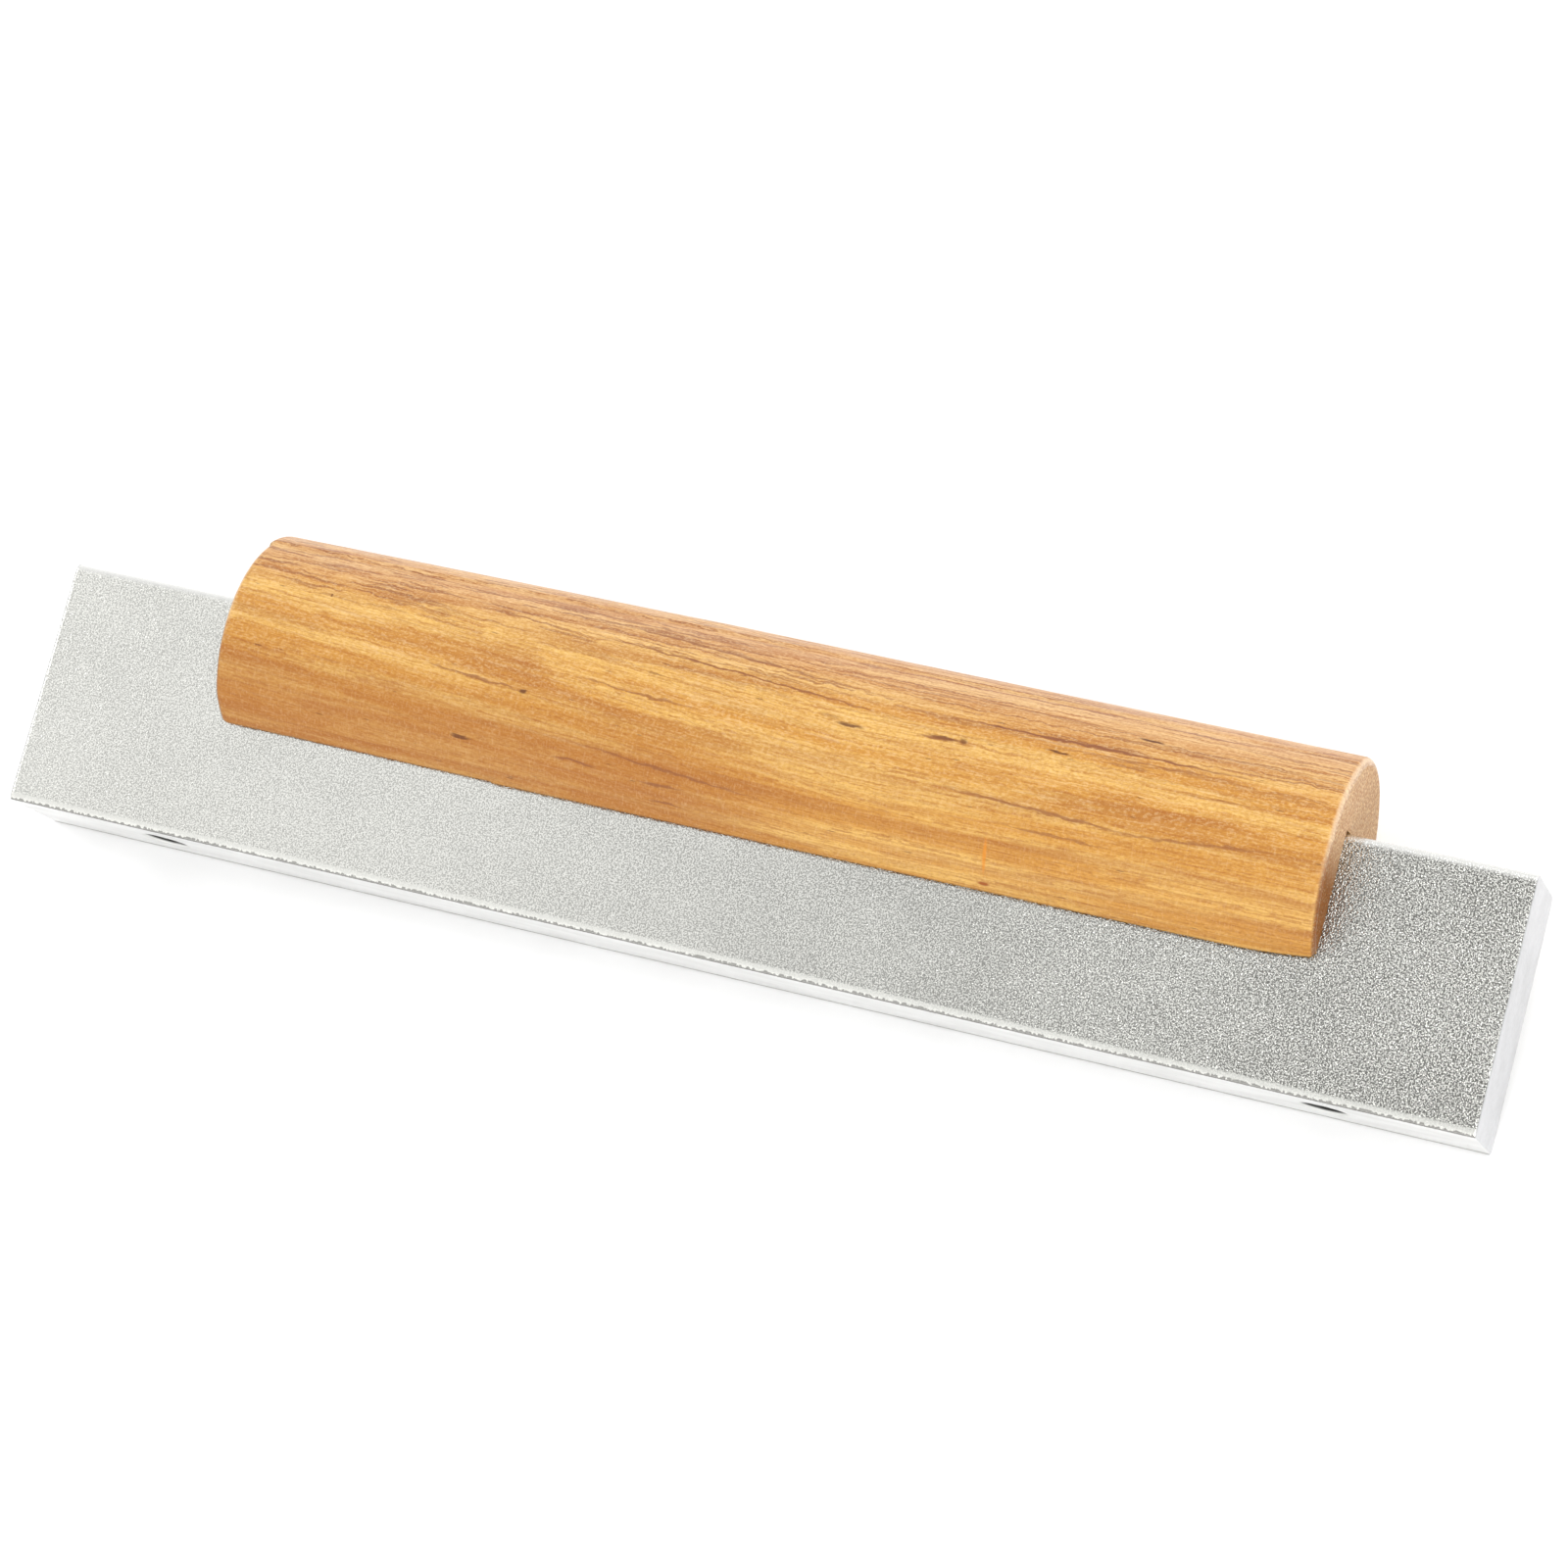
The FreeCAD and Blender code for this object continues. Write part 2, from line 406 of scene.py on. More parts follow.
def handlePiece():
    # outer surface = arc point + normal * (rim rounding + waviness + fibres - pores), along x
    outer, outNormal, inner = handleSection()
    rows = len(outer)
    rim = handle["rimRound"]
    body = np.linspace(handle["left"] + rim, handle["right"] - rim,
                       int((handle["right"] - handle["left"] - 2 * rim) / grain["along"]) + 1)
    turn = np.radians(np.linspace(0, 90, 9))
    leftX = handle["left"] + rim - rim * np.cos(turn[:-1])
    rightX = handle["right"] - rim + rim * np.sin(turn[1:])
    x = np.concatenate([leftX, body, rightX])
    drop = np.concatenate([rim - rim * np.sin(turn[:-1]), np.zeros(len(body)), rim - rim * np.cos(turn[1:])])
    columns = len(x)
    cell = (grain["along"], grain["around"])
    shape = (columns, rows)
    fibres = bandNoise(shape, cell, grain["fibre"], 21, stretch=14)
    pores = np.clip(bandNoise(shape, cell, grain["pore"], 22, stretch=6) - grain["rarePore"], 0, 1.2)
    slow = np.sin(x / grain["waveLength"] + 0.6)[:, None] * np.cos(np.linspace(0, 5, rows))[None]
    lift = grain["fibreDepth"] * fibres - grain["poreDepth"] * pores + grain["wave"] * slow
    toLeft = (grain["taperFrom"] - x) / (grain["taperFrom"] - handle["left"])
    lift -= grain["taper"] * np.clip(toLeft, 0, 1)[:, None]
    inBody = np.clip((rim - drop) / rim, 0, 1)[:, None]
    lift = lift * inBody - drop[:, None]
    # near the wing tips the surface stays on the section, so that the thin edge is straight
    edge = np.minimum(np.arange(rows), np.arange(rows)[::-1]) * grain["around"]
    lift = lift * np.where(lift < -0.2, 1, np.clip(edge / grain["edgeEase"], 0, 1)[None])
    across = outer[None] + outNormal[None] * lift[..., None]
    outside = np.concatenate([np.broadcast_to(x[:, None, None], shape + (1,)), across], 2)
    # each end is ruled between the outer rim and the slot's outline
    steps = grain["capSteps"]
    share = np.linspace(0, 1, steps + 1)[1:, None, None]
    parts = [outside.reshape(-1, 3)]
    faces = gridFaces(columns, rows)
    smooth = [True] * len(faces)
    finish = [0] * len(faces)
    total = columns * rows
    ringStarts = []
    for edgeIndex, xEnd in ((0, x[0]), (columns - 1, x[-1])):
        rimPoints = outside[edgeIndex]
        slotPoints = np.column_stack([np.full(rows, xEnd), inner])
        cap = rimPoints[None] * (1 - share) + slotPoints[None] * share
        parts.append(cap.reshape(-1, 3))
        index = np.concatenate([
            (edgeIndex * rows + np.arange(rows))[None],
            total + np.arange(steps * rows).reshape(steps, rows),
        ])
        quads = quadsOf(index)
        faces += quads
        smooth += [False] * len(quads)
        finish += [1] * len(quads)
        ringStarts.append(index)
        total += steps * rows
    # the slot's walls run from end to end, and each wing's tip closes with one long flat face
    near, far = ringStarts[0][-1], ringStarts[1][-1]
    for j in range(rows - 1):
        faces.append([int(near[j]), int(near[j + 1]), int(far[j + 1]), int(far[j])])
        smooth.append(False)
    for j in (0, rows - 1):
        tip = [i * rows + j for i in range(columns)]
        tip += [int(k) for k in ringStarts[1][1:, j]]
        tip += [int(k) for k in ringStarts[0][1:, j][::-1]]
        faces.append(tip)
        smooth.append(False)
    finish += [0] * (len(faces) - len(finish))
    verts = settled(np.concatenate(parts))
    return newPiece("slotted_handle", verts, faces, smooth, finish)


handleWood = handlePiece()
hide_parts("wooden_handle")
print("handle made")

# ---- glue ----

glue = {
    "spacing": 1.0,
    "edgeGap": 0.45,           # the film stops short of the wings' edges by about this much
    "endGap": 0.25,            # and short of the handle's ends
    "ragged": 0.18,            # how far its free edges wander
    "across": 49,              # points from one free edge to the other
    "clear": (0.56, 0.36, 0.15, 1),
    "dusty": (0.42, 0.26, 0.12, 1),
    "bumpDepth": 0.05,
}


def gluePiece():
    # a film round three sides of the bar's back part: place = share * way along the U between the slot's
    # wall and the bar's wall, over a grid of x and share; its free edges wander by a few sines
    x = np.arange(handle["left"] + glue["endGap"], handle["right"] - glue["endGap"], glue["spacing"])
    share = np.linspace(0, 1, glue["across"])
    low = handle["tipZ"] + handle["lean"] * x - handle["sink"] + wingRise(x) + glue["edgeGap"]
    low += glue["ragged"] * (np.sin(0.9 * x) * np.sin(0.37 * x + 1.0))
    layers = []
    for half, roof in ((handle["slotHalf"], handle["slotTop"]), (sideY, bar["height"])):
        wall = (roof - low)[:, None]
        way = share[None] * (2 * wall + 2 * half)
        y = np.clip(way - wall - half, -half, half)
        z = roof - np.maximum(np.maximum(wall - way, way - wall - 2 * half), 0)
        layers.append(np.stack([np.broadcast_to(x[:, None], y.shape), y, z], 2))
    layers[0][0, :, 0] += glue["ragged"] * np.sin(9 * share) ** 2
    layers[0][-1, :, 0] -= glue["ragged"] * np.sin(7 * share) ** 2
    columns, rows = layers[0].shape[:2]
    faces = gridFaces(columns, rows) + gridFaces(columns, rows, columns * rows)
    index = np.arange(2 * columns * rows).reshape(2, columns, rows)
    for border in (index[:, 0], index[:, -1], index[:, :, 0], index[:, :, -1]):
        faces += quadsOf(border)
    verts = np.concatenate([layer.reshape(-1, 3) for layer in layers])
    return newPiece("glue_film", verts, faces, [False] * len(faces))


glueFilm = gluePiece()
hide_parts("glue_bed")
print("glue made")

# ---- materials ----


def wire(tree, socket, value):
    if isinstance(value, bpy.types.NodeSocket):
        tree.links.new(value, socket)
    else:
        socket.default_value = value


def put(tree, kind, inputs, **settings):
    # a node with its settings, and its inputs by name or number: each a value or another node's output
    made = tree.nodes.new("ShaderNode" + kind)
    for name, value in settings.items():
        setattr(made, name, value)
    for name, value in inputs.items():
        wire(tree, made.inputs[name], value)
    return made


def sums(tree, operation, *values, clamp=False):
    return put(tree, "Math", dict(enumerate(values)), operation=operation, use_clamp=clamp).outputs[0]


def fade(tree, value, low, high, start=0.0, end=1.0):
    # from start at low to end at high, eased at both
    inputs = {"Value": value, "From Min": low, "From Max": high, "To Min": start, "To Max": end}
    return put(tree, "MapRange", inputs, interpolation_type="SMOOTHSTEP").outputs["Result"]


def blendColours(tree, share, first, second, kind="MIX"):
    return put(tree, "Mix", {0: share, 6: first, 7: second}, data_type="RGBA", blend_type=kind).outputs[2]


def newGroup(name, inputs, output, kind="Float"):
    # an effect that several finishes place with their own values; inputs are (name, kind, value)
    group = bpy.data.node_groups.new(name, "ShaderNodeTree")
    for label, inputKind, value in inputs:
        socket = group.interface.new_socket(label, in_out="INPUT", socket_type="NodeSocket" + inputKind)
        socket.default_value = value
    group.interface.new_socket(output, in_out="OUTPUT", socket_type="NodeSocket" + kind)
    given = group.nodes.new("NodeGroupInput").outputs
    result = group.nodes.new("NodeGroupOutput").inputs[0]
    return group, given, result


def use(tree, group, **inputs):
    return put(tree, "Group", {k.capitalize(): v for k, v in inputs.items()}, node_tree=group).outputs[0]


def drawnOut(tree, given):
    # the place divided by (along, across, across), shifted by the seed
    size = put(tree, "CombineXYZ", {"X": given["Along"], "Y": given["Across"], "Z": given["Across"]})
    place = {0: given["Vector"], 1: size.outputs[0]}
    divided = put(tree, "VectorMath", place, operation="DIVIDE").outputs[0]
    return put(tree, "VectorMath", {0: divided, 1: given["Seed"]}, operation="ADD").outputs[0]


# noise drawn out along x
streaks, given, result = newGroup("streaks", [
    ("Vector", "Vector", (0, 0, 0)), ("Along", "Float", 10.0), ("Across", "Float", 1.0),
    ("Detail", "Float", 2.0), ("Seed", "Float", 0.0),
], "Value")
drawn = {"Vector": drawnOut(streaks, given), "Scale": 1.0, "Detail": given["Detail"], "Roughness": 0.55}
noise = put(streaks, "TexNoise", drawn)
streaks.links.new(noise.outputs["Fac"], result)

# scattered ovals: the cells of a drawn-out lattice, of which a share holds a spot of the given size
specks, given, result = newGroup("specks", [
    ("Vector", "Vector", (0, 0, 0)), ("Along", "Float", 1.0), ("Across", "Float", 1.0),
    ("Share", "Float", 0.5), ("Size", "Float", 0.3), ("Seed", "Float", 0.0),
], "Mask")
drawn = {"Vector": drawnOut(specks, given), "Scale": 1.0, "Randomness": 1.0}
cells = put(specks, "TexVoronoi", drawn)
chance = put(specks, "SeparateColor", {"Color": cells.outputs["Color"]})
reach = sums(specks, "MULTIPLY", given["Size"], fade(specks, chance.outputs[1], 0, 1, 0.5, 1.0))
core = sums(specks, "MULTIPLY", reach, 0.4)
spot = fade(specks, cells.outputs["Distance"], core, reach, 1.0, 0.0)
kept = sums(specks, "LESS_THAN", chance.outputs[0], given["Share"])
specks.links.new(sums(specks, "MULTIPLY", spot, kept), result)

# one soft oval at a place of its own
mark, given, result = newGroup("mark", [
    ("Vector", "Vector", (0, 0, 0)), ("Place", "Vector", (0, 0, 0)), ("Size", "Vector", (1, 1, 1)),
], "Mask")
apart = put(mark, "VectorMath", {0: given["Vector"], 1: given["Place"]}, operation="SUBTRACT").outputs[0]
apart = put(mark, "VectorMath", {0: apart, 1: given["Size"]}, operation="DIVIDE").outputs[0]
reach = put(mark, "VectorMath", {0: apart}, operation="LENGTH").outputs["Value"]
mark.links.new(fade(mark, reach, 0.35, 1.0, 1.0, 0.0), result)


def newMaterial(name):
    material = bpy.data.materials.new(name)
    material.use_nodes = True
    tree = material.node_tree
    tree.nodes.clear()
    shader = put(tree, "BsdfPrincipled", {})
    put(tree, "OutputMaterial", {"Surface": shader.outputs["BSDF"]})
    return material, tree, shader


def toolPlace(tree, centre):
    # the surface point in the tool's own axes, in millimetres from a point on its centre plane
    turn = math.atan2(toolY[2], toolY[1])
    seen = put(tree, "TexCoord", {}).outputs["Object"]
    inputs = {"Vector": seen, "Location": toRow(centre), "Rotation": (turn, 0, 0), "Scale": (millimetre,) * 3}
    return put(tree, "Mapping", inputs, vector_type="TEXTURE").outputs[0]


def bumped(tree, shader, height, depth):
    # height 0 to 1 stands for a real depth in millimetres
    inputs = {"Height": height, "Distance": depth * millimetre, "Strength": 1.0}
    wire(tree, shader.inputs["Normal"], put(tree, "Bump", inputs).outputs["Normal"])


def paint(piece, *materials):
    for material in materials:
        piece.data.materials.append(material)


def blastedFinish():
    metal = {
        "pale": (0.96, 0.96, 0.91, 1),       # painted reflection: tone of the bright grains at the left end, and at the right one
        "rightBright": (0.74, 0.74, 0.70, 1),
        "faint": (0.545, 0.545, 0.515, 1),   # painted reflection: tone of the dark grains at the left end, and at the right one
        "strong": (0.15, 0.15, 0.138, 1),
        "pit": (0.50, 0.50, 0.47, 1),
        "reflectionContrastFrom": -45.0,               # where along the bar the painted reflection contrast begins to grow,
        "reflectionContrastTo": 110.0,                 # and where it would be full
        "grain": (0.22, 0.21),               # size of the bright and dark grains along and across the bar
        "fineGrain": (0.24, 0.23),           # and of the relief
        "fineDepth": 0.10,
        "sheen": (0.20, 0.30),               # roughness of the smoothest and the dullest grains
        "leftEdge": (0.85, 0.85, 0.83, 1),   # painted highlight tone of the smoother back edge at either end
        "rightEdge": (0.78, 0.78, 0.755, 1),
        "backBand": (1.3, 0.5),              # it begins and is full this far below the back
        "soleBand": (1.15, 0.75),            # the same, above the sole
        "arrisShade": (0.24, 0.235, 0.22, 1),
        "arrisShadeHeight": 0.30,                  # painted shade: the skin is painted dark this near to the milled sole
    }
    material, tree, shader = newMaterial("blasted_metal")
    place = toolPlace(tree, (0, 0, 0))
    parts = put(tree, "SeparateXYZ", {"Vector": place}).outputs
    # painted reflection: the grains' contrast grows towards the right end, standing in for the sparkle of
    # reflected light on the blasted face
    reflectionContrastRamp = fade(tree, parts["X"], metal["reflectionContrastFrom"], metal["reflectionContrastTo"])
    cloud = use(tree, streaks, vector=place, along=14.0, across=9.0, detail=3.0, seed=3.0)
    along, across = metal["grain"]
    grains = use(tree, streaks, vector=place, along=along, across=across, detail=1.0, seed=8.0)
    pits = use(tree, specks, vector=place, along=0.9, across=0.8, share=0.3, size=0.3, seed=4.0)
    tone = sums(tree, "ADD", fade(tree, cloud, 0.35, 0.65, -0.05, 0.05), fade(tree, grains, 0.43, 0.59))
    # the bright and dark grain tones are painted reflection, not the metal's own colour
    darkGrain = blendColours(tree, reflectionContrastRamp, metal["faint"], metal["strong"])
    brightGrain = blendColours(tree, reflectionContrastRamp, metal["pale"], metal["rightBright"])
    colour = blendColours(tree, sums(tree, "MAXIMUM", tone, 0.0), brightGrain, darkGrain)
    colour = blendColours(tree, sums(tree, "MULTIPLY", pits, 0.5), colour, metal["pit"])

    # smoother on the rounded edges, with painted highlight bands on them, and a broken line of painted shade
    # where the sole was cut
    backEdge = fade(tree, parts["Z"], *[bar["height"] - below for below in metal["backBand"]])
    soleEdge = fade(tree, parts["Z"], *metal["soleBand"])
    edgeTone = blendColours(tree, reflectionContrastRamp, metal["leftEdge"], metal["rightEdge"])
    # painted highlight: an even paler band on the rounded back edge, and a pale band on the rounded edge
    # above the sole
    colour = blendColours(tree, sums(tree, "MULTIPLY", backEdge, 0.85), colour, edgeTone)
    colour = blendColours(tree, sums(tree, "MULTIPLY", soleEdge, 0.75), colour, metal["pale"])
    # painted shade: a broken dark line along the sole's arris
    shadeLineBreaks = use(tree, streaks, vector=place, along=0.5, across=0.9, detail=2.0, seed=14.0)
    uneven = sums(tree, "ADD", parts["Z"], fade(tree, shadeLineBreaks, 0.35, 0.65, -0.15, 0.12))
    nearSole = fade(tree, uneven, 0.5 * metal["arrisShadeHeight"], metal["arrisShadeHeight"], 0.8, 0.0)
    colour = blendColours(tree, nearSole, colour, metal["arrisShade"])
    wire(tree, shader.inputs["Base Color"], colour)
    shader.inputs["Metallic"].default_value = 1.0
    wire(tree, shader.inputs["Roughness"], fade(tree, grains, 0.35, 0.65, *metal["sheen"]))
    along, across = metal["fineGrain"]
    fine = use(tree, streaks, vector=place, along=along, across=across, detail=1.0, seed=1.0)
    smoothed = sums(tree, "MAXIMUM", backEdge, soleEdge)
    share = sums(tree, "MULTIPLY", fade(tree, reflectionContrastRamp, 0, 1, 0.45, 1.0), fade(tree, smoothed, 0, 1, 1.0, 0.35))
    bumped(tree, shader, sums(tree, "MULTIPLY", fine, share), metal["fineDepth"])
    return material


def cutFinish(name, metal, along, across, seed):
    # bare metal with the fine lines that the cutter left, drawn out along the bar or round on the ends
    material, tree, shader = newMaterial(name)
    place = toolPlace(tree, (0, 0, 0))
    lines = use(tree, streaks, vector=place, along=along, across=across, detail=3.0, seed=seed)
    cloud = use(tree, streaks, vector=place, along=9.0, across=4.0, detail=3.0, seed=seed + 5)
    spots = use(tree, specks, vector=place, along=1.6, across=1.1, share=0.16, size=0.16, seed=seed)
    colour = blendColours(tree, fade(tree, cloud, 0.3, 0.75), metal["bright"], metal["worn"])
    colour = blendColours(tree, fade(tree, lines, 0.45, 0.8, 0.0, 0.25), colour, metal["worn"])
    colour = blendColours(tree, sums(tree, "MULTIPLY", spots, 0.6), colour, metal["spot"])
    wire(tree, shader.inputs["Base Color"], colour)
    shader.inputs["Metallic"].default_value = 1.0
    wire(tree, shader.inputs["Roughness"], fade(tree, lines, 0.3, 0.7, *metal["dull"]))
    bumped(tree, shader, lines, metal["lineDepth"])
    return material


varnish = {
    "gold": (0.74, 0.445, 0.120, 1),
    "honey": (0.60, 0.290, 0.052, 1),
    "rust": (0.36, 0.118, 0.020, 1),
    "amber": (0.70, 0.25, 0.020, 1),
    "drop": (0.30, 0.060, 0.008, 1),
    "paintedSheen": (0.68, 0.43, 0.25, 1),
    "bark": (0.24, 0.080, 0.030, 1),
    "umber": (0.11, 0.030, 0.010, 1),
    "straw": (0.84, 0.60, 0.33, 1),
    "endGrain": (0.52, 0.35, 0.215, 1),
    "endWing": (0.19, 0.070, 0.018, 1),
    "rimHighlight": (0.82, 0.62, 0.42, 1),
    "grainLean": -3.7,         # degrees from the handle's length to the grain, on the upper side
    "straightFrom": 12.0,      # from here to the right the grain runs along the handle
    "pith": (46.0, -9.0),      # middle of the tree, in the rod's section
    "ring": 1.9,               # width of one year's growth
    "waver": 0.9,              # how far the lines stray sideways
    "fray": 1.1,               # and the placed marks
    "shine": 0.32,             # specular level of the turned surface, and of the cut ends
    "endShine": 0.08,
    "roughness": (0.30, 0.46),
    "endRoughness": (0.60, 0.80),
    "fineDepth": 0.05,
}
# dark marks in the wood: place along the handle from its middle, place round it from the side's middle,
# half length, half width, and how dark
flaws = [
    (12.8, 3.2, 2.4, 0.42, 0.85),
    (10.0, 3.9, 1.8, 0.4, 0.3),
    (39.6, 5.4, 2.2, 0.34, 0.9),
    (25.2, 4.1, 2.9, 0.38, 0.5),
    (27.6, 4.3, 0.7, 0.6, 0.7),
    (50.2, 10.5, 2.3, 0.36, 0.95),
    (-38.2, -9.1, 2.0, 0.3, 0.8),
    (-30.6, -1.4, 0.7, 0.3, 0.85),
    (-14.0, 4.5, 1.6, 0.3, 0.4),
    (-60.5, 6.3, 0.22, 0.22, 0.7),
]
# thin brown lines: the same five, with half lengths and half widths, and the lean from the handle's length
threads = [
    (-38.0, -0.9, 9.5, 0.22, 0.71, -0.065),
    (-3.7, 7.3, 29.0, 0.24, 0.85, -0.076),
    (-6.0, 10.5, 29.0, 0.28, 0.78, -0.092),
    (-20.0, 13.2, 24.0, 0.3, 0.59, -0.05),
    (-15.7, 1.4, 12.0, 0.22, 0.65, -0.061),
    (-9.5, -7.6, 17.0, 0.26, 0.65, -0.09),
    (-22.3, -9.0, 4.0, 0.32, 0.77, -0.05),
    (-10.4, -9.7, 4.0, 0.32, 0.71, 0.0),
    (-9.3, -12.1, 3.2, 0.3, 0.71, 0.0),
    (24.5, 4.0, 3.6, 0.34, 0.83, 0.07),
    (44.0, 7.5, 28.0, 0.28, 0.94, 0.0),
    (52.0, 6.5, 13.0, 0.22, 0.53, 0.012),
    (48.6, 5.5, 4.5, 0.32, 0.53, 0.03),
    (39.0, -2.5, 17.0, 0.3, 0.71, -0.04),
    (59.0, -2.4, 14.0, 0.3, 0.59, 0.09),
    (41.7, -5.2, 9.5, 0.26, 0.59, -0.025),
    (60.8, 3.5, 8.5, 0.22, 0.53, 0.03),
    (30.0, 11.6, 30.0, 0.24, 0.47, -0.01),
]
run = {"x": 33.3, "middle": -9.6, "length": 3.2, "width": 0.34, "drop": -13.7, "dropSize": (1.1, 0.45, 1)}


def woodFinish(name, specular, roughness):
    material, tree, shader = newMaterial(name)
    centre = toolPlace(tree, (0, 0, handle["axisHeight"]))
    leaned = {"Vector": centre, "Rotation": (0, math.radians(varnish["grainLean"]), 0)}
    grainPlace = put(tree, "Mapping", leaned, vector_type="POINT").outputs[0]
    parts = put(tree, "SeparateXYZ", {"Vector": centre}).outputs
    past = sums(tree, "MAXIMUM", sums(tree, "SUBTRACT", parts["X"], varnish["straightFrom"]), 0.0)
    level = sums(tree, "MULTIPLY", past, math.tan(math.radians(varnish["grainLean"])))
    straightened = put(tree, "CombineXYZ", {"Z": level}).outputs[0]
    grainPlace = put(tree, "VectorMath", {0: grainPlace, 1: straightened}, operation="ADD").outputs[0]
    aroundTurn = sums(tree, "ARCTAN2", parts["Z"], sums(tree, "MULTIPLY", parts["Y"], -1.0))
    around = sums(tree, "MULTIPLY", aroundTurn, handle["radius"])
    unrolled = put(tree, "CombineXYZ", {"X": parts["X"], "Y": around}).outputs[0]

    # growth layers: the distance from the pith, bent by two slow noises, split into years
    pith = (0, *varnish["pith"])
    fromPith = put(tree, "VectorMath", {0: grainPlace, 1: pith}, operation="SUBTRACT").outputs[0]
    flat = put(tree, "VectorMath", {0: fromPith, 1: (0, 1, 1)}, operation="MULTIPLY").outputs[0]
    reach = put(tree, "VectorMath", {0: flat}, operation="LENGTH").outputs["Value"]
    slow = use(tree, streaks, vector=grainPlace, along=80.0, across=10.0, detail=1.0, seed=2.0)
    quick = use(tree, streaks, vector=grainPlace, along=26.0, across=2.6, detail=3.0, seed=6.0)
    bend = sums(tree, "ADD", sums(tree, "MULTIPLY", slow, 4.5), sums(tree, "MULTIPLY", quick, 1.6))
    years = sums(tree, "DIVIDE", sums(tree, "ADD", reach, bend), varnish["ring"])
    season = sums(tree, "FRACT", years)
    late = sums(tree, "MULTIPLY", fade(tree, season, 0.2, 0.85), fade(tree, season, 0.84, 1.0, 1.0, 0.0))
    strength = use(tree, streaks, vector=grainPlace, along=45.0, across=4.0, detail=2.0, seed=11.0)
    late = sums(tree, "MULTIPLY", late, fade(tree, strength, 0.36, 0.66, 0.06, 0.55))

    # the lines waver a little: the place is shifted round the rod by a short noise
    waver = use(tree, streaks, vector=grainPlace, along=2.6, across=2.0, detail=2.0, seed=63.0)
    aside = sums(tree, "MULTIPLY", sums(tree, "SUBTRACT", waver, 0.5), varnish["waver"])
    shift = put(tree, "CombineXYZ", {"Y": aside, "Z": aside}).outputs[0]
    waved = put(tree, "VectorMath", {0: grainPlace, 1: shift}, operation="ADD").outputs[0]
    bands = use(tree, streaks, vector=waved, along=60.0, across=2.4, detail=4.0, seed=15.0)
    threadsNoise = use(tree, streaks, vector=waved, along=16.0, across=0.34, detail=3.0, seed=19.0)
    fibres = use(tree, streaks, vector=grainPlace, along=6.0, across=0.16, detail=1.0, seed=23.0)
    flecks = use(tree, streaks, vector=grainPlace, along=0.26, across=0.75, detail=2.0, seed=27.0)
    pores = use(tree, specks, vector=grainPlace, along=3.4, across=0.42, share=0.06, size=0.28, seed=31.0)

    upper = fade(tree, around, 5.0, 14.0)
    lowerLeft = sums(tree, "MULTIPLY", fade(tree, around, 1.0, -9.0), fade(tree, parts["X"], 18.0, -12.0))
    colour = blendColours(tree, fade(tree, bands, 0.40, 0.60), varnish["gold"], varnish["honey"])
    # painted sheen: the upper side of the rod is paler and rosier
    colour = blendColours(tree, sums(tree, "MULTIPLY", upper, 0.45), colour, varnish["paintedSheen"])
    # darker and redder on the lower left of the rod: partly the wood's own tone, partly painted shade
    colour = blendColours(tree, sums(tree, "MULTIPLY", lowerLeft, 0.6), colour, varnish["rust"])
    colour = blendColours(tree, late, colour, varnish["rust"])
    upperShare = fade(tree, upper, 0, 1, 0.55, 0.9)
    fineLines = sums(tree, "MULTIPLY", fade(tree, threadsNoise, 0.50, 0.70), upperShare)
    colour = blendColours(tree, fineLines, colour, varnish["rust"])
    lines = use(tree, streaks, vector=waved, along=30.0, across=0.5, detail=3.0, seed=53.0)
    upperShare = fade(tree, around, 3.0, 10.0, 0.18, 0.75)
    upperLines = sums(tree, "MULTIPLY", fade(tree, lines, 0.52, 0.62), upperShare)
    colour = blendColours(tree, upperLines, colour, varnish["bark"])
    mottle = use(tree, streaks, vector=grainPlace, along=0.5, across=0.24, detail=2.0, seed=57.0)
    colour = blendColours(tree, fade(tree, mottle, 0.5, 0.66, 0.0, 0.3), colour, varnish["rust"])
    paleDots = sums(tree, "MULTIPLY", fade(tree, mottle, 0.5, 0.34), fade(tree, around, -9.0, 2.0, 0.08, 0.3))
    colour = blendColours(tree, paleDots, colour, varnish["straw"])
    paleShare = fade(tree, around, -9.0, 2.0, 0.1, 0.3)
    paleLines = sums(tree, "MULTIPLY", fade(tree, threadsNoise, 0.44, 0.3), paleShare)
    colour = blendColours(tree, paleLines, colour, varnish["straw"])
    colour = blendColours(tree, fade(tree, fibres, 0.4, 0.7, 0.0, 0.34), colour, varnish["rust"])
    colour = blendColours(tree, fade(tree, flecks, 0.5, 0.25, 0.0, 0.16), colour, varnish["straw"])
    colour = blendColours(tree, sums(tree, "MULTIPLY", pores, 0.55), colour, varnish["umber"])

    # marks, on the unrolled surface and a little frayed
    fray = use(tree, streaks, vector=centre, along=2.4, across=0.6, detail=3.0, seed=35.0)
    offLine = sums(tree, "MULTIPLY", sums(tree, "SUBTRACT", fray, 0.5), varnish["fray"])
    frayed = put(tree, "CombineXYZ", {"Y": offLine}).outputs[0]
    markPlace = put(tree, "VectorMath", {0: unrolled, 1: frayed}, operation="ADD").outputs[0]
    slope = math.tan(math.radians(varnish["grainLean"]))
    marks = [(*line, "bark") for line in threads] + [(*flaw, slope, "umber") for flaw in flaws]
    for along, rise, length, width, dark, lean, tone in marks:
